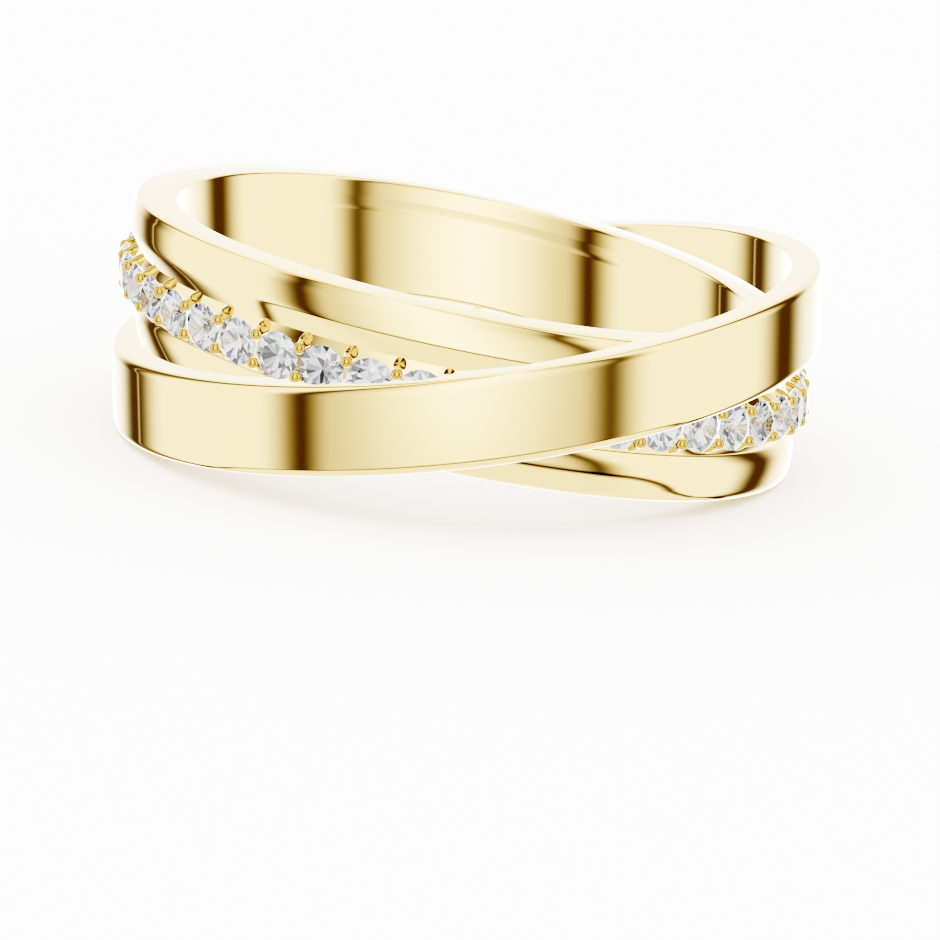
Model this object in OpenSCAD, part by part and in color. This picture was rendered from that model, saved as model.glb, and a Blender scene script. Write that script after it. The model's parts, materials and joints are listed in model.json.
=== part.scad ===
// Crossover ring. A plain band crosses over a sloping band that carries a row of round brilliants.
// Millimetres. The ring lies on its side as it does on a table, with +Z up and its front at -Y.
// The origin is the middle of the ring's box, at the height of the table.

/* [Finger hole] */
// Diameter of the finger hole
bore_d = 17.3; // [15.5:0.1:21]

/* [Stone band] */
// Wall from the finger hole out to the gallery surface that carries the stones
gallery_wall = 1.25; // [1.1:0.01:1.5]
// Width of the upper rail
upper_rail_w = 1.61; // [1.2:0.01:1.9]
// How far the upper rail stands out from the gallery surface
upper_rail_out = 0.18; // [0.1:0.01:0.25]
// Width of the gallery between the two rails
gallery_w = 1.61; // [1.5:0.01:2]
// How far the middle of the gallery bulges out
gallery_bulge = 0.08; // [0:0.01:0.12]
// Width of the lower rail at the front of the ring
lower_rail_w = 1.45; // [1.2:0.01:2]
// How far the lower rail stands out from the gallery surface
lower_rail_out = 0.12; // [0.06:0.01:0.2]
// How much narrower the lower rail is at the back of the ring
back_narrowing = 0.95; // [0:0.01:1.1]
// Slope of the stone band across the ring, in degrees
stone_band_slope = 11.66; // [8:0.01:14]
// How far the stone band sags at its two sides and rises at front and back
stone_band_bow = 0.095; // [0:0.005:0.2]

/* [Plain band] */
// Width of the plain band
plain_band_w = 2.62; // [2.2:0.01:3.2]
// Thickness of the plain band
plain_band_t = 0.93; // [0.8:0.01:1.2]
// How deep the plain band is let into the gallery surface
plain_band_sink = 0.07; // [0.03:0.01:0.15]
// How far the plain band's upper edge lies below the stone band's, at the front and at the back
plain_band_drop = 1.42; // [1:0.01:1.9]
// Slope of the plain band across the ring, in degrees, against the slope of the stone band
plain_band_slope = 6.43; // [4:0.01:9]
// How far the plain band rises at its two sides and sags at front and back
plain_band_bow = 0.066; // [0:0.001:0.15]
// Radius of the rounded outer edges of the plain band
outer_edge_r = 0.25; // [0.1:0.01:0.35]
// Radius of the rounded inner edges of the plain band
inner_edge_r = 0.08; // [0.04:0.01:0.2]

/* [Stones] */
// Diameter of each brilliant
stone_d = 1.38; // [1.2:0.01:1.4]
// Gap between one stone's girdle and the next
stone_gap = 0.038; // [0.03:0.001:0.1]
// Places in the row, with those that the plain band covers
stone_places = 25; // [20:1:27]
// Angle of the first place, counter-clockwise from the right of the ring
first_place_angle = 175.7; // [170:0.1:185]
// First place that the plain band covers, where no stone is set
covered_place = 13; // [11:1:15]
// Number of places that the plain band covers
covered_places = 3; // [2:1:3]
// Height of the girdles above the gallery surface
girdle_rise = 0.34; // [0.2:0.01:0.36]
// How far the row of stones lies above the middle of the gallery, at the mean of all sides
row_rise = 0.065; // [0:0.005:0.1]
// Slope of the row of stones across the ring, in degrees
row_slope = 11.2; // [8:0.01:14]
// How far the row of stones sags at its two sides and rises at the front
row_bow = 0.035; // [0:0.005:0.2]
// Diameter of the table facet
table_d = 0.78; // [0.6:0.01:0.85]
// Height of the crown above the girdle
crown_h = 0.2; // [0.15:0.01:0.25]
// Thickness of the girdle
girdle_t = 0.03; // [0.02:0.01:0.05]
// Depth of the pavilion below the girdle
pavilion_h = 0.56; // [0.45:0.01:0.6]
// Clearance between a stone and the metal round it
seat_gap = 0.04; // [0.03:0.005:0.06]

/* [Prongs] */
// Diameter of the ball at the tip of a prong
prong_ball_d = 0.34; // [0.28:0.01:0.4]
// Diameter of the prong's wire
prong_wire_d = 0.3; // [0.2:0.01:0.32]
// Height of the ball's centre above the gallery surface
prong_rise = 0.42; // [0.36:0.01:0.5]
// Distance of the balls from the row's centre line
prong_offset = 0.43; // [0.38:0.01:0.5]
// How far the prongs lean in over the stones, in degrees
prong_lean = 21; // [0:1:30]

/* [Hidden] */
$fn = 48;

// Sections round each band, and steps round each of its rounded edges
ring_steps = 72;
edge_steps = 3;
// Length over which the empty gallery runs out into the plain back, in degrees
run_out_angle = 8;
// How deep a prong's wire goes into the gallery wall
wire_root = 0.3;
// How far the stone band reaches inside the finger hole before the hole is cut
overcut = 0.6;
degrees_per_radian = 180 / PI;

bore_r = bore_d / 2;
gallery_r = bore_r + gallery_wall;
girdle_r = gallery_r + girdle_rise;
stone_band_w = upper_rail_w + gallery_w + lower_rail_w;
plain_inner_r = gallery_r - plain_band_sink;
plain_outer_r = plain_inner_r + plain_band_t;

// The ring's own frame has the finger hole on the Z axis.
// Its zero height is the plain band's lower edge at the front.
stone_band_top = plain_band_w + plain_band_drop;
plain_band_top = plain_band_w;
row_depth = upper_rail_w + gallery_w / 2 - row_rise;
bulge_share = gallery_bulge / upper_rail_out;
prong_r = gallery_r + prong_rise;
place_angle = 2 * asin((stone_d + stone_gap) / (2 * girdle_r));

// Outlines of the rails from top to bottom.
// Each row is a point: its share of the rail's stand-out, and of its width.
out = 0;
down = 1;
upper_rail_shape = [
    [-0.85, 0], [-0.3, 0.03], [0, 0.09], [0.5, 0.22], [0.85, 0.42],
    [1, 0.6], [0.8, 0.71], [0.3, 0.85], [-0.33, 1]
];
lower_rail_shape = [
    [-0.5, 0], [0, 0.04], [0.83, 0.2], [1, 0.41], [0.67, 0.65], [0, 0.86], [-1.5, 0.97], [-4, 1]
];
upper_crest = 5;
lower_crest = 3;

set_places = [
    for (n = [1:stone_places]) if (n < covered_place || n >= covered_place + covered_places) n
];
function two_digits(n) = n < 10 ? str("0", n) : str(n);
function stone_name(n) = str("stone_", two_digits(n));

// Height that a band's slope and bow add at a radius and an angle
function stone_band_lift(r, angle) =
    -r * tan(stone_band_slope) * cos(angle) - stone_band_bow * r / girdle_r * cos(2 * angle);
function plain_band_lift(r, angle) =
    r * tan(plain_band_slope) * cos(angle) + plain_band_bow * r / girdle_r * cos(2 * angle);

function row_lift(r, angle) = -r * tan(row_slope) * cos(angle) - row_bow * r / girdle_r * cos(2 * angle);

function place_at(n) = first_place_angle + (n - 1) * place_angle;
function row_height(r, angle) = stone_band_top - row_depth + row_lift(r, angle);

// Share of the gallery's depth that is left at an angle: all of it along the stones, none at the back
function ease(t) = t * t * (3 - 2 * t);
function clamp(t) = min(1, max(0, t));
row_middle = (place_at(1) + place_at(stone_places)) / 2;
row_half_angle = (place_at(stone_places) - place_at(1)) / 2 + place_angle * 0.75;
function from_row_middle(angle) = abs(((angle - row_middle + 540) % 360) - 180);
function gallery_share(angle) =
    ease(clamp((row_half_angle + run_out_angle - from_row_middle(angle)) / run_out_angle));

// The lower rail narrows smoothly towards the back
function lower_rail_at(angle) =
    lower_rail_w - (sin(angle) > 0 ? back_narrowing * pow(sin(angle), 2) : 0);

// Section of the stone band as [radius, depth below its upper edge], from inside top to inside bottom.
// Between the crests of the two rails it drops to the gallery, and at the back it stays full.
function full_share(share, angle) = 1 + (share - 1) * gallery_share(angle);
function stone_band_section(angle) =
    let (lower_rail_top = upper_rail_w + gallery_w, lower_rail = lower_rail_at(angle))
    concat(
        [[bore_r - overcut, 0]],
        [for (i = [0:len(upper_rail_shape) - 1])
            let (
                shape = upper_rail_shape[i],
                share = i < upper_crest ? shape[out] : full_share(shape[out], angle)
            )
            [gallery_r + upper_rail_out * share, upper_rail_w * shape[down]]],
        [[gallery_r + upper_rail_out * full_share(bulge_share, angle), upper_rail_w + gallery_w / 2]],
        [for (i = [0:len(lower_rail_shape) - 1])
            let (
                shape = lower_rail_shape[i],
                share = i > lower_crest ? shape[out] : full_share(shape[out], angle)
            )
            [gallery_r + lower_rail_out * share, lower_rail_top + lower_rail * shape[down]]],
        [[bore_r - overcut, lower_rail_top + lower_rail]]
    );

// Section of the plain band as [radius, depth below its upper edge]
function corner(centre, r, from) = [
    for (i = [0:edge_steps])
        let (a = from - 90 * i / edge_steps)
            [centre[0] + r * cos(a), centre[1] - r * sin(a)]
];
function plain_band_section() = concat(
    corner([plain_inner_r + inner_edge_r, inner_edge_r], inner_edge_r, 180),
    corner([plain_outer_r - outer_edge_r, outer_edge_r], outer_edge_r, 90),
    corner([plain_outer_r - outer_edge_r, plain_band_w - outer_edge_r], outer_edge_r, 0),
    corner([plain_inner_r + inner_edge_r, plain_band_w - inner_edge_r], inner_edge_r, -90)
);

// Points of both bands, one section after another round the ring. The plain band's sections stand
// half a step from the stone band's, so that no edge of one lies in line with an edge of the other.
function section_angles(offset) = [for (i = [0:ring_steps - 1]) 360 * (i + offset) / ring_steps];
stone_band_points = [
    for (a = section_angles(0)) for (p = stone_band_section(a))
        [p[0] * cos(a), p[0] * sin(a), stone_band_top - p[1] + stone_band_lift(p[0], a)]
];
plain_band_points = [
    for (a = section_angles(0.5)) for (p = plain_band_section())
        [p[0] * cos(a), p[0] * sin(a), plain_band_top - p[1] + plain_band_lift(p[0], a)]
];

// The ring rocks until both bands touch the table. The tilt is found by halving an interval.
function height_at_tilt(p, tilt) = p[0] * sin(tilt) + p[2] * cos(tilt);
function reach_at_tilt(p, tilt) = p[0] * cos(tilt) - p[2] * sin(tilt);
function lowest(points, tilt) = min([for (p = points) height_at_tilt(p, tilt)]);
function settle(low, high, rounds) =
    let (mid = (low + high) / 2)
    rounds == 0 ? mid
    : lowest(plain_band_points, mid) > lowest(stone_band_points, mid) ? settle(mid, high, rounds - 1)
    : settle(low, mid, rounds - 1);
rest_tilt = settle(-5, 15, 18);
rest_lift = -min(lowest(plain_band_points, rest_tilt), lowest(stone_band_points, rest_tilt));
reaches = [for (p = concat(plain_band_points, stone_band_points)) reach_at_tilt(p, rest_tilt)];
rest_shift = -(min(reaches) + max(reaches)) / 2;

module at_rest() {
    translate([rest_shift, 0, rest_lift]) rotate([0, -rest_tilt, 0]) children();
}

// A closed ring of equal sections, each cell as two triangles
module swept_ring(points, section_size) {
    steps = len(points) / section_size;
    faces = [
        for (i = [0:steps - 1]) for (j = [0:section_size - 1])
            let (
                next_i = (i + 1) % steps,
                next_j = (j + 1) % section_size,
                a = i * section_size + j,
                b = i * section_size + next_j,
                c = next_i * section_size + next_j,
                d = next_i * section_size + j
            )
            each [[a, c, b], [a, d, c]]
    ];
    polyhedron(points, faces, convexity = 6);
}

// Places its children at a place in the row, with +Z pointing out of the ring
module in_row(angle, out, up = 0) {
    rotate([0, 0, angle]) translate([out, 0, row_height(out, angle) + up]) rotate([0, 90, 0]) children();
}

// A prong above the row has side 1, and one below it side -1. The two stand square to the row.
function square_to_row(angle, side) =
    angle - side * prong_offset * tan(row_slope) * sin(angle) / prong_r * degrees_per_radian;

module prong(angle, side) {
    wire_h = (wire_root + prong_rise) / cos(prong_lean);
    in_row(square_to_row(angle, side), prong_r, side * prong_offset) {
        sphere(d = prong_ball_d);
        rotate([0, side * prong_lean, 0])
            translate([0, 0, -wire_h])
                cylinder(d = prong_wire_d, h = wire_h);
    }
}

// A prong is left out where the plain band swallows it
function covered(angle, side) =
    let (
        height = row_height(gallery_r, angle) + side * prong_offset,
        top = plain_band_top + plain_band_lift(gallery_r, angle),
        reach = prong_ball_d + wire_root
    )
    height + reach < top && height - reach > top - plain_band_w;

module prongs() {
    for (n = [0:stone_places]) {
        angle = place_at(n + 0.5);
        for (side = [-1, 1]) if (!covered(angle, side)) prong(angle, side);
    }
}

// Room for one stone, cut from the metal
module seat() {
    rotate_extrude() polygon([
        [0, -girdle_t / 2 - pavilion_h - 2 * seat_gap],
        [stone_d / 2 + seat_gap, -girdle_t / 2 - seat_gap / 2],
        [stone_d / 2 + seat_gap, girdle_t / 2 + seat_gap / 2],
        [table_d / 2 + seat_gap, girdle_t / 2 + crown_h + seat_gap],
        [0, girdle_t / 2 + crown_h + seat_gap]
    ]);
}

module crossover_band() {
    color("gold") at_rest() difference() {
        union() {
            swept_ring(stone_band_points, len(stone_band_section(0)));
            swept_ring(plain_band_points, len(plain_band_section()));
            prongs();
        }
        translate([0, 0, -stone_band_w * 2]) cylinder(r = bore_r, h = stone_band_w * 4);
        for (n = set_places) in_row(place_at(n), girdle_r) seat();
    }
}

// A round brilliant: table, star, kite and upper half facets, girdle, and pavilion down to the culet
table_sides = 8;
girdle_sides = 16;
function facet_ring(r, z, sides, turn = 0) =
    [for (i = [0:sides - 1]) let (a = 360 * (i + turn) / sides) [r * cos(a), r * sin(a), z]];
// One polygon for each ring of corners, and the culet with two corners of the girdle
function ring_face(first, sides) = [for (i = [0:sides - 1]) first + i];

module brilliant() {
    girdle = stone_d / 2;
    table = table_d / 2;
    top = girdle_t / 2 + crown_h;
    kite_r = (girdle + table) / 2;
    kite_z = girdle_t / 2 + crown_h * (girdle - kite_r * cos(180 / table_sides)) / (girdle - table);
    corners = concat(
        facet_ring(table, top, table_sides),
        facet_ring(kite_r, kite_z, table_sides, 0.5),
        facet_ring(girdle, girdle_t / 2, girdle_sides),
        facet_ring(girdle, -girdle_t / 2, girdle_sides),
        [[0, 0, -girdle_t / 2 - pavilion_h]]
    );
    first_upper = 2 * table_sides;
    first_lower = first_upper + girdle_sides;
    culet = first_lower + girdle_sides;
    hull() polyhedron(corners, [
        ring_face(0, table_sides),
        ring_face(table_sides, table_sides),
        ring_face(first_upper, girdle_sides),
        ring_face(first_lower, girdle_sides),
        [first_lower, first_lower + girdle_sides / 2, culet]
    ]);
}

module stone(n) {
    color("white") at_rest() in_row(place_at(set_places[n - 1]), girdle_r) brilliant();
}

crossover_band();
for (n = [1:len(set_places)]) {
    stone(n);
}
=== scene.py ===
import json
from math import acos, asin, atan2, cos, pi, radians, sin, tan

import bmesh
import bpy
from mathutils import Matrix, Vector


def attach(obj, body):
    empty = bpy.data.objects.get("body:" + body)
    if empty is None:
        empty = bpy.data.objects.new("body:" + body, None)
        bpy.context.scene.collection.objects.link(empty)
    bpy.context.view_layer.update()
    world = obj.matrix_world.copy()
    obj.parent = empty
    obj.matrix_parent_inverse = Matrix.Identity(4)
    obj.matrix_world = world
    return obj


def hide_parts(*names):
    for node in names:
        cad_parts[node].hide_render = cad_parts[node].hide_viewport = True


# Crossover ring in polished yellow gold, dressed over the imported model: smooth bands, ball prongs and
# round brilliants with all their facets, on a pale floor in soft studio light. Sizes are in
# millimetres in the ring's own frame, which has the finger hole on the Z axis.

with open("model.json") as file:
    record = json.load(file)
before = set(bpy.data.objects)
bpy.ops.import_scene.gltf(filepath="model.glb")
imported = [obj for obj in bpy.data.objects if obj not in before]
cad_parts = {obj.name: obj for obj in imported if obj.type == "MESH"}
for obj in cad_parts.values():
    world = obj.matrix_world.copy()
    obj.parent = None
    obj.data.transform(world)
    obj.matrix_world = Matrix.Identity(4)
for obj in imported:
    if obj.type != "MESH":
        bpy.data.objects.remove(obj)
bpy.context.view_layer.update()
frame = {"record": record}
MM = 0.001

BORE_R = 8.65
GALLERY_WALL = 1.25
GALLERY_R = BORE_R + GALLERY_WALL
GIRDLE_RISE = 0.34
GIRDLE_R = GALLERY_R + GIRDLE_RISE
UPPER_RAIL_W = 1.61
UPPER_RAIL_OUT = 0.18
GALLERY_W = 1.61
GALLERY_BULGE = 0.08
LOWER_RAIL_W = 1.45
LOWER_RAIL_OUT = 0.12
BACK_NARROWING = 0.95
STONE_BAND_SLOPE = radians(11.66)
STONE_BAND_BOW = 0.095
STONE_BAND_EDGE_R = 0.1
PLAIN_BAND_W = 2.62
PLAIN_BAND_T = 0.93
PLAIN_BAND_SINK = 0.07
PLAIN_INNER_R = GALLERY_R - PLAIN_BAND_SINK
PLAIN_OUTER_R = PLAIN_INNER_R + PLAIN_BAND_T
PLAIN_BAND_SLOPE = radians(6.43)
PLAIN_BAND_BOW = 0.066
OUTER_EDGE_R = 0.25
INNER_EDGE_R = 0.08
PLAIN_BAND_DROP = 1.42
STONE_BAND_TOP = PLAIN_BAND_W + PLAIN_BAND_DROP

# Outlines of the rails from top to bottom, as shares of the rail's stand-out and of its width
UPPER_RAIL_SHAPE = [
    (-0.85, 0), (-0.3, 0.03), (0, 0.09), (0.5, 0.22), (0.85, 0.42),
    (1, 0.6), (0.8, 0.71), (0.3, 0.85), (-0.33, 1)]
LOWER_RAIL_SHAPE = [
    (-0.5, 0), (0, 0.04), (0.83, 0.2), (1, 0.41), (0.67, 0.65), (0, 0.86), (-1.5, 0.97), (-4, 1)]

# Groove inside the back of the stone band, below its upper edge, with two steps in it.
# Its shape runs from bottom to top, as shares of its depth and of its height.
GROOVE_TOP = 0.6
GROOVE_H = 0.42
GROOVE_DEPTH = 0.014
GROOVE_SHAPE = [(0, 1.1), (0, 1), (1, 0.86), (0.5, 0.62), (0.5, 0.2), (0, 0), (0, -0.1)]
GROOVE_FROM = radians(50)
GROOVE_TO = radians(135)

STONE_D = 1.38
STONE_GAP = 0.038
STONE_PLACES = 25
FIRST_PLACE_ANGLE = radians(175.7)
PLACE_ANGLE = 2 * asin((STONE_D + STONE_GAP) / 2 / GIRDLE_R)
COVERED_PLACES = (13, 14, 15)
ROW_RISE = 0.065
ROW_DEPTH = UPPER_RAIL_W + GALLERY_W / 2 - ROW_RISE
ROW_SLOPE = radians(11.2)
ROW_BOW = 0.035
TABLE_D = 0.78
CROWN_H = 0.2
GIRDLE_T = 0.03
PAVILION_H = 0.56
SEAT_GAP = 0.04
PRONG_BALL_R = 0.17
PRONG_WIRE_R = 0.15
PRONG_FOOT_R = 0.185
PRONG_RISE = 0.42
PRONG_OFFSET = 0.43
PRONG_LEAN = radians(21)
WIRE_ROOT = 0.3

ROW_MIDDLE = FIRST_PLACE_ANGLE + (STONE_PLACES - 1) / 2 * PLACE_ANGLE
PLACES_PAST_ROW = 0.75
ROW_HALF_ANGLE = ((STONE_PLACES - 1) / 2 + PLACES_PAST_ROW) * PLACE_ANGLE
RUN_OUT_ANGLE = radians(8)
set_places = [n for n in range(1, STONE_PLACES + 1) if n not in COVERED_PLACES]

# The mount gives the tilt of the ring on the floor. It stands at this height in the ring's own frame.
MOUNT_HEIGHT = 1.69
hole = next(m for m in frame["record"]["mounts"] if m["name"] == "finger_hole")
rest_tilt = atan2(-hole["axis"][0], hole["axis"][2])
ring_to_world = (
    Matrix.Translation(hole["pos_m"])
    @ Matrix.Rotation(-rest_tilt, 4, "Y")
    @ Matrix.Scale(MM, 4)
    @ Matrix.Translation((0, 0, -MOUNT_HEIGHT))
)


def stone_band_lift(r, angle):
    """Height that the stone band's slope and bow add."""
    return -r * tan(STONE_BAND_SLOPE) * cos(angle) - STONE_BAND_BOW * r / GIRDLE_R * cos(2 * angle)


def plain_band_lift(r, angle):
    """Height that the plain band's slope and bow add."""
    return r * tan(PLAIN_BAND_SLOPE) * cos(angle) + PLAIN_BAND_BOW * r / GIRDLE_R * cos(2 * angle)


def place_at(number):
    """Angle of a place in the row of stones."""
    return FIRST_PLACE_ANGLE + (number - 1) * PLACE_ANGLE


def row_height(r, angle):
    """Height of the row's centre line, which slopes a little less than its band."""
    lift = -r * tan(ROW_SLOPE) * cos(angle) - ROW_BOW * r / GIRDLE_R * cos(2 * angle)
    return STONE_BAND_TOP - ROW_DEPTH + lift


def ease(t):
    """Smooth step from 0 to 1."""
    t = min(1.0, max(0.0, t))
    return t * t * (3 - 2 * t)


def smooth_curve(points, steps):
    """Points of a smooth curve through the given ones."""
    ends = [points[0], *points, points[-1]]
    curve = []
    for before, a, b, after in zip(ends, ends[1:], ends[2:], ends[3:]):
        for i in range(steps):
            t = i / steps
            curve.append(tuple(
                a[k] + 0.5 * t * (b[k] - before[k])
                + t * t * (before[k] - 2.5 * a[k] + 2 * b[k] - 0.5 * after[k])
                + 0.5 * t ** 3 * (3 * a[k] - before[k] - 3 * b[k] + after[k])
                for k in (0, 1)
            ))
    return [*curve, points[-1]]


LEAD = 0.04


def corner(centre, r, start, steps):
    """A quarter round in a section, with a short straight lead at both ends that keeps the flats flat."""
    turns = [start + pi / 2 * i / steps for i in range(steps + 1)]
    arc = [(centre[0] + r * cos(a), centre[1] + r * sin(a)) for a in turns]
    before = (arc[0][0] + LEAD * sin(turns[0]), arc[0][1] - LEAD * cos(turns[0]))
    after = (arc[-1][0] - LEAD * sin(turns[-1]), arc[-1][1] + LEAD * cos(turns[-1]))
    return [before, *arc, after]


def gallery_share(angle):
    """Share of the gallery's depth at an angle: all of it along the stones, none at the back."""
    away = abs((angle - ROW_MIDDLE + pi) % (2 * pi) - pi)
    return ease((ROW_HALF_ANGLE + RUN_OUT_ANGLE - away) / RUN_OUT_ANGLE)


upper_rail = smooth_curve(UPPER_RAIL_SHAPE, 4)
lower_rail = smooth_curve(LOWER_RAIL_SHAPE, 4)
upper_crest = upper_rail.index(max(upper_rail))
lower_crest = lower_rail.index(max(lower_rail))


def stone_band_section(angle):
    """Section of the stone band as (radius, depth below its upper edge).

    Between the crests of the two rails it drops to the gallery, and at the back it stays full.
    """
    share = gallery_share(angle)
    lower_w = LOWER_RAIL_W - BACK_NARROWING * max(0, sin(angle)) ** 2
    gallery_bottom = UPPER_RAIL_W + GALLERY_W
    bottom = gallery_bottom + lower_w
    section = []
    for i, (out, down) in enumerate(upper_rail):
        out = out if i < upper_crest else 1 + (out - 1) * share
        section.append((GALLERY_R + UPPER_RAIL_OUT * out, UPPER_RAIL_W * down))
    low = UPPER_RAIL_OUT * upper_rail[-1][0]
    steps = 8
    for i in range(1, steps):
        from_middle = 2 * i / steps - 1
        bulge = low + (GALLERY_BULGE - low) * (1 - from_middle ** 4)
        out = UPPER_RAIL_OUT + (bulge - UPPER_RAIL_OUT) * share
        section.append((GALLERY_R + out, UPPER_RAIL_W + GALLERY_W * i / steps))
    for i, (out, down) in enumerate(lower_rail):
        out = out if i > lower_crest else 1 + (out - 1) * share
        section.append((GALLERY_R + LOWER_RAIL_OUT * out, gallery_bottom + lower_w * down))
    edge = STONE_BAND_EDGE_R
    section += corner((BORE_R + edge, bottom - edge), edge, pi / 2, 4)
    t = (angle % (2 * pi) - GROOVE_FROM) / (GROOVE_TO - GROOVE_FROM)
    opening = sin(pi * min(1, max(0, t)))
    depth = GROOVE_DEPTH * ease(4 * opening)
    section += [(BORE_R + out * depth, GROOVE_TOP + GROOVE_H * down) for out, down in GROOVE_SHAPE]
    return section + corner((BORE_R + edge, edge), edge, pi, 4)


def plain_band_section(_angle):
    """Section of the plain band as (radius, depth below its upper edge)."""
    outer, inner = PLAIN_OUTER_R - OUTER_EDGE_R, PLAIN_INNER_R + INNER_EDGE_R
    return [
        *corner((outer, OUTER_EDGE_R), OUTER_EDGE_R, -pi / 2, 8),
        *corner((outer, PLAIN_BAND_W - OUTER_EDGE_R), OUTER_EDGE_R, 0, 8),
        *corner((inner, PLAIN_BAND_W - INNER_EDGE_R), INNER_EDGE_R, pi / 2, 4),
        *corner((inner, INNER_EDGE_R), INNER_EDGE_R, pi, 4),
    ]


def new_object(name, bm):
    """An object for a bmesh, which is used up."""
    bmesh.ops.recalc_face_normals(bm, faces=bm.faces)
    mesh = bpy.data.meshes.new(name)
    bm.to_mesh(mesh)
    bm.free()
    piece = bpy.data.objects.new(name, mesh)
    bpy.context.scene.collection.objects.link(piece)
    return piece


def swept_band(name, section_at, top, lift, steps, offset=0.0):
    """A closed band with a section at each step round the ring."""
    bm = bmesh.new()
    rings = []
    for i in range(steps):
        angle = 2 * pi * (i + offset) / steps
        rings.append([
            bm.verts.new((r * cos(angle), r * sin(angle), top - depth + lift(r, angle)))
            for r, depth in section_at(angle)
        ])
    for i, ring in enumerate(rings):
        after = rings[(i + 1) % steps]
        for j, vert in enumerate(ring):
            k = (j + 1) % len(ring)
            bm.faces.new((vert, ring[k], after[k], after[j]))
    return new_object(name, bm)


def row_matrix(angle, r, up=0.0):
    """Placing at a place in the row, with +Z pointing out of the ring and +X down it."""
    return (
        Matrix.Rotation(angle, 4, "Z")
        @ Matrix.Translation((r, 0, row_height(r, angle) + up))
        @ Matrix.Rotation(pi / 2, 4, "Y")
    )


def lathe(bm, outline, sides, matrix):
    """A solid of revolution about Z from (radius, height) points that start and end on the axis."""
    rings = []
    for r, z in outline:
        count = sides if r > 0 else 1
        rings.append([
            bm.verts.new(matrix @ Vector((r * cos(2 * pi * k / sides), r * sin(2 * pi * k / sides), z)))
            for k in range(count)
        ])
    for low, high in zip(rings, rings[1:]):
        for k in range(sides):
            after = k + 1
            around = [
                low[k % len(low)], low[after % len(low)],
                high[after % len(high)], high[k % len(high)],
            ]
            bm.faces.new(list(dict.fromkeys(around)))


def covered(angle, side):
    """Whether the plain band swallows a prong whole."""
    height = row_height(GALLERY_R, angle) + side * PRONG_OFFSET
    top = PLAIN_BAND_W + plain_band_lift(GALLERY_R, angle)
    reach = 2 * PRONG_BALL_R + WIRE_ROOT
    return height + reach < top and height - reach > top - PLAIN_BAND_W


def make_prongs():
    """All prongs that show, in one object: each a wire with a ball and a foot that flares out."""
    neck = acos(PRONG_WIRE_R / PRONG_BALL_R)
    steps = 10
    turns = [-neck + (pi / 2 + neck) * i / steps for i in range(steps)]
    foot = -0.8 * PRONG_RISE
    flare = [foot * (1 - i / 10) for i in range(6)]
    outline = [
        (0, -PRONG_RISE - WIRE_ROOT),
        (PRONG_FOOT_R, -PRONG_RISE - WIRE_ROOT),
        *((PRONG_WIRE_R + (PRONG_FOOT_R - PRONG_WIRE_R) * (2 * z / foot - 1) ** 2, z) for z in flare),
        *((PRONG_BALL_R * cos(a), PRONG_BALL_R * sin(a)) for a in turns),
        (0, PRONG_BALL_R),
    ]
    r = GALLERY_R + PRONG_RISE
    bm = bmesh.new()
    for n in range(STONE_PLACES + 1):
        angle = place_at(n + 0.5)
        for side in (1, -1):
            if not covered(angle, side):
                square = angle - side * PRONG_OFFSET * tan(ROW_SLOPE) * sin(angle) / r
                lean = Matrix.Rotation(side * PRONG_LEAN, 4, "Y")
                lathe(bm, outline, 20, row_matrix(square, r, side * PRONG_OFFSET) @ lean)
    return new_object("prongs", bm)


def make_seats():
    """Room for all stones, in one object."""
    outline = [
        (0, -GIRDLE_T / 2 - PAVILION_H - 2 * SEAT_GAP),
        (STONE_D / 2 + SEAT_GAP, -GIRDLE_T / 2 - SEAT_GAP / 2),
        (STONE_D / 2 + SEAT_GAP, GIRDLE_T / 2 + SEAT_GAP / 2),
        (TABLE_D / 2 + SEAT_GAP, GIRDLE_T / 2 + CROWN_H + SEAT_GAP),
        (0, GIRDLE_T / 2 + CROWN_H + SEAT_GAP),
    ]
    bm = bmesh.new()
    for number in set_places:
        lathe(bm, outline, 32, row_matrix(place_at(number), GIRDLE_R))
    return new_object("seats", bm)


def combine(piece, other, operation):
    """Joins or cuts a piece by another object, which is used up."""
    step = piece.modifiers.new("combine", "BOOLEAN")
    step.solver = "MANIFOLD"
    step.operation = operation
    step.object = other
    depsgraph = bpy.context.evaluated_depsgraph_get()
    mesh = bpy.data.meshes.new_from_object(piece.evaluated_get(depsgraph))
    piece.modifiers.clear()
    piece.data = mesh
    bpy.data.objects.remove(other)


# The camera in the ring's frame, from a fit to the photo. Its pitch is how far it looks down.
CAMERA_PLACE = (0.13, -97.74, 23.32)
CAMERA_PITCH = radians(15.03)
FOCAL_PIXELS = 3278
PICTURE_SIDE = 940


def make_camera():
    """The camera at the photo's angle to the ring."""
    sensor = 36
    data = bpy.data.cameras.new("camera")
    data.sensor_width = sensor
    data.lens = FOCAL_PIXELS / PICTURE_SIDE * sensor
    data.clip_start = 0.005
    data.clip_end = 5
    camera = bpy.data.objects.new("camera", data)
    bpy.context.scene.collection.objects.link(camera)
    in_ring = Matrix.Translation(CAMERA_PLACE) @ Matrix.Rotation(pi / 2 - CAMERA_PITCH, 4, "X")
    place, turn, _scale = (ring_to_world @ in_ring).decompose()
    camera.location = place
    camera.rotation_mode = "QUATERNION"
    camera.rotation_quaternion = turn
    bpy.context.scene.camera = camera


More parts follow.
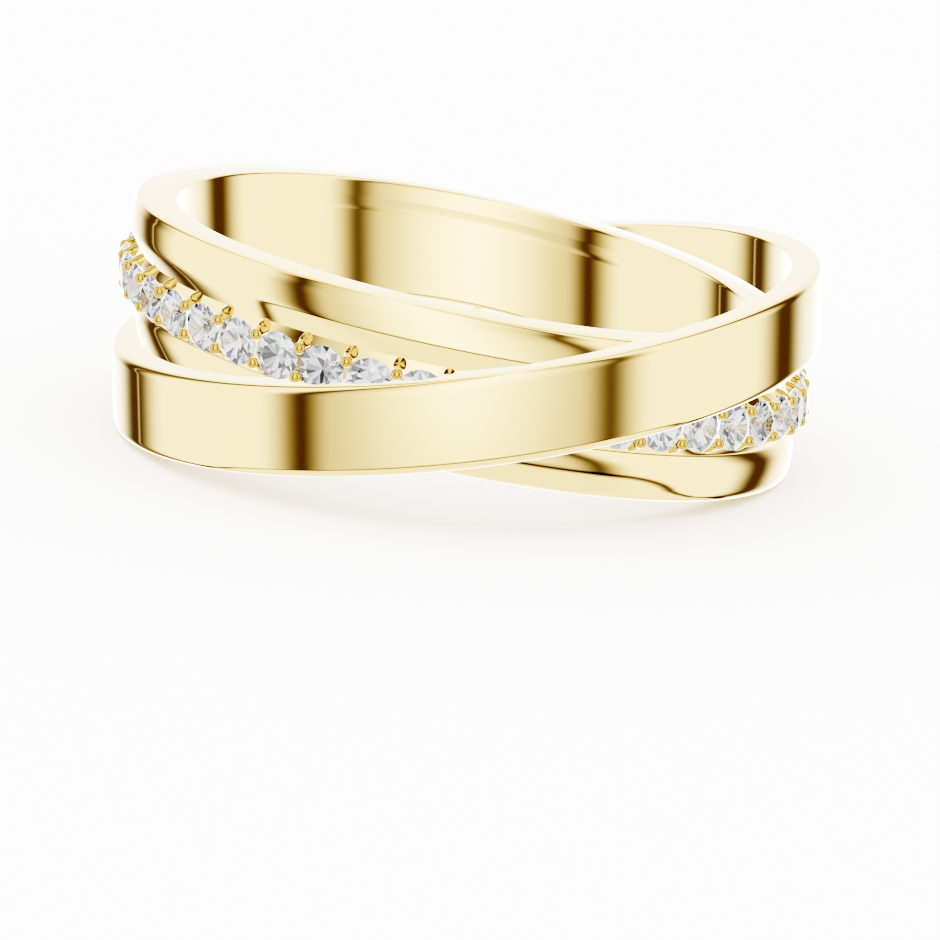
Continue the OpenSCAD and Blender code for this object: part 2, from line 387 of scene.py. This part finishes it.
class Nodes:
    """Short calls that add shader nodes and link them."""

    def __init__(self, owner):
        owner.use_nodes = True
        self.tree = owner.node_tree
        self.tree.nodes.clear()

    def add(self, kind, values=None, **settings):
        """A node with these settings, and these values or links on its inputs."""
        node = self.tree.nodes.new(kind)
        for key, value in settings.items():
            setattr(node, key, value)
        for key, value in (values or {}).items():
            if isinstance(value, bpy.types.NodeSocket):
                self.tree.links.new(value, node.inputs[key])
            else:
                node.inputs[key].default_value = value
        return node

    def math(self, operation, *values):
        """The output of a math node."""
        return self.add("ShaderNodeMath", dict(enumerate(values)), operation=operation).outputs[0]

    def blend(self, factor, a, b, kind="MIX"):
        """The output of a mix of two colours."""
        values = {0: factor, 6: a, 7: b}
        return self.add("ShaderNodeMix", values, data_type="RGBA", blend_type=kind).outputs[2]

    def grey(self, value):
        """A colour with the same value in all its channels."""
        return self.add("ShaderNodeCombineColor", {0: value, 1: value, 2: value}).outputs[0]

    def spread(self, value, low, high, to_low, to_high, easing="LINEAR"):
        """The output of a map range node."""
        values = {0: value, 1: low, 2: high, 3: to_low, 4: to_high}
        return self.add("ShaderNodeMapRange", values, interpolation_type=easing).outputs[0]

    def noise(self, where, scale, detail=2.0):
        """The output of a noise texture."""
        values = {"Vector": where, "Scale": scale, "Detail": detail}
        return self.add("ShaderNodeTexNoise", values).outputs[0]


# How fine the gold's patches, polishing marks and ripple are, in waves per metre
GOLD_PATCHES = 160.0
GOLD_MARKS = 1500.0
GOLD_RIPPLE = 420.0


def gold_material(name, pale, deep):
    """Polished yellow gold between two tones, with polishing marks and a soft ripple."""
    material = bpy.data.materials.new(name)
    n = Nodes(material)
    where = n.add("ShaderNodeTexCoord").outputs["Object"]
    colour = n.blend(n.noise(where, GOLD_PATCHES), deep, pale)
    stretched = n.add("ShaderNodeMapping", {"Vector": where, "Scale": (1, 1, 12)}).outputs[0]
    roughness = n.spread(n.noise(stretched, GOLD_MARKS), 0.3, 0.7, 0.03, 0.06)
    bump = n.add("ShaderNodeBump", {
        "Height": n.noise(where, GOLD_RIPPLE, 1.0), "Strength": 0.02, "Distance": 0.00002})
    shader = n.add("ShaderNodeBsdfPrincipled", {
        "Base Color": colour, "Metallic": 1.0, "Roughness": roughness, "Normal": bump.outputs[0]})
    n.add("ShaderNodeOutputMaterial", {"Surface": shader.outputs[0]})
    return material


def diamond_material():
    """Clear cut stone, with the faintest clouding."""
    material = bpy.data.materials.new("clear_brilliant")
    n = Nodes(material)
    where = n.add("ShaderNodeTexCoord").outputs["Object"]
    roughness = n.spread(n.noise(where, 2500.0), 0.4, 0.8, 0.0, 0.02)
    shader = n.add("ShaderNodeBsdfPrincipled", {
        "Base Color": (1, 1, 1, 1), "Roughness": roughness, "IOR": 2.42, "Transmission Weight": 1.0})
    n.add("ShaderNodeOutputMaterial", {"Surface": shader.outputs[0]})
    return material


def floor_material():
    """Pale matt floor, with a faint unevenness."""
    material = bpy.data.materials.new("pale_floor")
    n = Nodes(material)
    where = n.add("ShaderNodeTexCoord").outputs["Object"]
    roughness = n.spread(n.noise(where, 30.0), 0.0, 1.0, 0.85, 0.95)
    shader = n.add("ShaderNodeBsdfPrincipled", {
        "Base Color": (0.95, 0.95, 0.95, 1), "Roughness": roughness, "Specular IOR Level": 0.0})
    n.add("ShaderNodeOutputMaterial", {"Surface": shader.outputs[0]})
    return material


def place_piece(piece, matrix, material, node):
    """Sets a piece of the ring in place of a CAD node. The polish mirrors the studio alone."""
    piece.data.transform(matrix)
    piece.data.materials.clear()
    piece.data.materials.append(material)
    piece.visible_glossy = False
    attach(piece, "root")
    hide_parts(node)


def smooth(piece):
    """Smooth shading between sharp edges."""
    piece.data.shade_smooth()
    piece.data.set_sharp_from_angle(angle=radians(32))


def make_metal(material, prong_painted_shade_material):
    """Both bands and the gallery as one smooth soldered piece, and the prongs in it as another, whose
    darker gold is painted shade.
    """
    steps = 480
    metal = swept_band("gold_ring", stone_band_section, STONE_BAND_TOP, stone_band_lift, steps)
    plain = swept_band("plain_band", plain_band_section, PLAIN_BAND_W, plain_band_lift, steps, 0.5)
    combine(metal, plain, "UNION")
    prongs = make_prongs()
    for piece, its_material in ((metal, material), (prongs, prong_painted_shade_material)):
        combine(piece, make_seats(), "DIFFERENCE")
        smooth(piece)
        place_piece(piece, ring_to_world, its_material, "crossover_band")


def brilliant(name):
    """A round brilliant with table, stars, kites, upper halves, girdle, lower halves and mains."""
    sides = 8
    girdle, table = STONE_D / 2, TABLE_D / 2
    half_turn = pi / sides
    kite_r = (girdle + table) / 2
    kite_z = GIRDLE_T / 2 + CROWN_H * (girdle - kite_r * cos(half_turn)) / (girdle - table)
    lower_r = girdle / 4
    lower_z = -GIRDLE_T / 2 - PAVILION_H * (1 - lower_r * cos(half_turn) / girdle)
    bm = bmesh.new()

    def ring(r, z, count, turn=0.0):
        angles = [2 * pi * (k + turn) / count for k in range(count)]
        return [bm.verts.new((r * cos(a), r * sin(a), z)) for a in angles]

    top = ring(table, GIRDLE_T / 2 + CROWN_H, sides)
    stars = ring(kite_r, kite_z, sides, 0.5)
    upper = ring(girdle, GIRDLE_T / 2, 2 * sides)
    under = ring(girdle, -GIRDLE_T / 2, 2 * sides)
    lower = ring(lower_r, lower_z, sides, 0.5)
    culet = bm.verts.new((0, 0, -GIRDLE_T / 2 - PAVILION_H))
    bm.faces.new(top)
    for k in range(sides):
        after = (k + 1) % sides
        start, middle, end = 2 * k, 2 * k + 1, 2 * after
        bm.faces.new((top[k], stars[k], top[after]))
        bm.faces.new((top[k], stars[k - 1], upper[start], stars[k]))
        bm.faces.new((stars[k], upper[start], upper[middle]))
        bm.faces.new((stars[k], upper[middle], upper[end]))
        bm.faces.new((upper[start], under[start], under[middle], upper[middle]))
        bm.faces.new((upper[middle], under[middle], under[end], upper[end]))
        bm.faces.new((under[start], lower[k], under[middle]))
        bm.faces.new((under[middle], lower[k], under[end]))
        bm.faces.new((culet, lower[k - 1], under[start], lower[k]))
    return new_object(name, bm)


def make_stones(material):
    """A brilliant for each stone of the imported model."""
    for i, number in enumerate(set_places, 1):
        place = ring_to_world @ row_matrix(place_at(number), GIRDLE_R)
        place_piece(brilliant(f"brilliant_{i:02d}"), place, material, f"stone_{i:02d}")


def make_floor(material):
    """A wide pale floor. The polished metal mirrors the studio's screens and not the floor."""
    bm = bmesh.new()
    bmesh.ops.create_grid(bm, x_segments=4, y_segments=4, size=0.6)
    floor = new_object("floor", bm)
    floor.data.materials.append(material)
    floor.visible_glossy = False


# The studio round the ring, in degrees in the ring's frame, with the camera at azimuth 270.
# A screen has its two ends, how wide each end fades, and a brightness.
SCREENS = [
    (35, 135, 18, 17, 3.4),
    (138, 140.5, 2, 0.5, 1.1),
    (140, 217, 18, 17, 3.4),
    (217, 318, 11, 13, 1.65),
    (315, 391, 17, 18, 3.4),
]
DIM_LIGHT = 0.45
# The lamps behind the front and the rear screen: the middle, how far the glow reaches, and a brightness
FRONT_LAMP = (268, 46, 3.1)
REAR_LAMP = (87, 38, 5.5)
# Elevations between which the front lamp comes up and the rear lamp fades to its least share
FRONT_LAMP_RISE = (-18.6, -12)
REAR_LAMP_FALL = (-8, 6)
REAR_LAMP_LEAST = 0.1
# The lower edge of the front screen is the higher one, and falls to that of the others on the way round
FRONT_SCREEN = 267
EDGE_FALLS = (58, 108)
FRONT_EDGE, OTHER_EDGE = -22, -46
# The dark line at a screen's lower edge, and the glow of the floor below it
EDGE_FADE = 4
EDGE_LIGHT = 0.12
GLOW_FADE = 5
FLOOR_GLOW = 3.0
# The light in the stones: how fine its patches are, where they turn from dark to bright, and both levels
PATCH_SCALE = 9.0
PATCH_EDGE = (0.41, 0.56)
PATCH_LEVELS = (0.2, 2.1)
TINT_SCALE = 14.0
TINT_SHARE = 0.35


def make_world():
    """A bright studio of wide soft screens with dark gaps between them."""
    world = bpy.data.worlds.new("studio")
    bpy.context.scene.world = world
    n = Nodes(world)
    direction = n.add("ShaderNodeTexCoord").outputs["Generated"]
    upright = n.add("ShaderNodeVectorRotate", {
        "Vector": direction, "Axis": (0, 1, 0), "Angle": rest_tilt}).outputs[0]
    parts = n.add("ShaderNodeSeparateXYZ", {0: upright}).outputs
    azimuth = n.math("ARCTAN2", parts["Y"], parts["X"])
    elevation = n.math("ARCSINE", parts["Z"])

    def away_from(middle):
        turned = n.math("SUBTRACT", azimuth, radians(middle))
        return n.math("WRAP", turned, -pi, pi)

    def glow(lamp):
        middle, reach, brightness = lamp
        away = n.math("ABSOLUTE", away_from(middle))
        return n.spread(away, 0.0, radians(reach), brightness, 0.0, "SMOOTHSTEP")

    light = DIM_LIGHT
    for start, end, fade_in, fade_out, brightness in SCREENS:
        turned = away_from((start + end) / 2)
        half = radians(end - start) / 2
        rise = n.spread(turned, -half, -half + radians(fade_in), 0.0, brightness, "SMOOTHSTEP")
        fall = n.spread(turned, half - radians(fade_out), half, 1.0, 0.0, "SMOOTHSTEP")
        light = n.math("ADD", n.math("MULTIPLY", rise, fall), light)
    high = n.spread(elevation, *map(radians, FRONT_LAMP_RISE), 0.0, 1.0, "SMOOTHSTEP")
    light = n.math("ADD", n.math("MULTIPLY", glow(FRONT_LAMP), high), light)
    low = n.spread(elevation, *map(radians, REAR_LAMP_FALL), 1.0, REAR_LAMP_LEAST, "SMOOTHSTEP")
    light = n.math("ADD", n.math("MULTIPLY", glow(REAR_LAMP), low), light)

    from_front = n.math("ABSOLUTE", away_from(FRONT_SCREEN))
    edges = radians(FRONT_EDGE), radians(OTHER_EDGE)
    edge = n.spread(from_front, *map(radians, EDGE_FALLS), *edges, "SMOOTHSTEP")
    below = n.math("SUBTRACT", edge, elevation)
    line = n.spread(below, -radians(EDGE_FADE), 0.0, 1.0, EDGE_LIGHT, "SMOOTHSTEP")
    floor_light = n.spread(below, 0.0, radians(GLOW_FADE), 0.0, FLOOR_GLOW, "SMOOTHSTEP")
    light = n.math("ADD", n.math("MULTIPLY", light, line), floor_light)

    # The stones see a finely broken light, with a few tinted sparks
    sparkle = n.spread(n.noise(upright, PATCH_SCALE), *PATCH_EDGE, *PATCH_LEVELS)
    tint = n.add("ShaderNodeTexNoise", {"Vector": upright, "Scale": TINT_SCALE, "Detail": 0.0})
    stone_light = n.blend(TINT_SHARE, n.grey(sparkle), tint.outputs["Color"], "OVERLAY")
    seen = n.add("ShaderNodeLightPath").outputs
    inside = n.math("MINIMUM", seen["Transmission Depth"], 1.0)
    indoors = n.blend(inside, n.grey(light), stone_light)

    # The floor and the picture's background see even light
    plain = n.math("MAXIMUM", seen["Is Camera Ray"], seen["Is Diffuse Ray"])
    colour = n.blend(plain, indoors, (FLOOR_LIGHT, FLOOR_LIGHT, FLOOR_LIGHT, 1))
    background = n.add("ShaderNodeBackground", {"Color": colour})
    n.add("ShaderNodeOutputWorld", {"Surface": background.outputs[0]})


# The picture's response to light, and the light on the floor that it shows as white
WHITE_LEVEL = 7.0
FLOOR_LIGHT = 5.6
CONTRAST = 1.485
BLACK_OFFSET = 0.2456
SHOULDER = 1.07


def response(light):
    """Share of white that the picture shows for an amount of light."""
    power = max(light - BLACK_OFFSET, 0) ** CONTRAST
    return min(1, SHOULDER * power / (power + 1))


def set_tones():
    """The picture's response: a small black offset and a long soft shoulder."""
    view = bpy.context.scene.view_settings
    view.view_transform = "Standard"
    view.use_curve_mapping = True
    mapping = view.curve_mapping
    mapping.extend = "HORIZONTAL"
    mapping.white_level = (WHITE_LEVEL, WHITE_LEVEL, WHITE_LEVEL)
    curve = mapping.curves[3]
    steps = 24
    for i in range(1, steps):
        share = (i / steps) ** 2
        curve.points.new(share, response(share * WHITE_LEVEL))
    curve.points[0].location = (0, 0)
    curve.points[-1].location = (1, 1)
    mapping.update()


def set_bounces():
    """Enough bounces for the light inside the stones."""
    cycles = bpy.context.scene.cycles
    cycles.max_bounces = 24
    cycles.glossy_bounces = 16
    cycles.transmission_bounces = 24


make_camera()
# The prongs take a darker copy of the gold: painted shade for the occlusion and dim reflections that
# deepen the prong balls.
make_metal(
    gold_material("polished_gold", (0.96, 0.71, 0.39, 1), (0.94, 0.69, 0.37, 1)),
    gold_material("prong_gold_painted_shade", (0.62, 0.42, 0.19, 1), (0.58, 0.38, 0.16, 1)),
)
make_stones(diamond_material())
make_floor(floor_material())
make_world()
set_tones()
set_bounces()
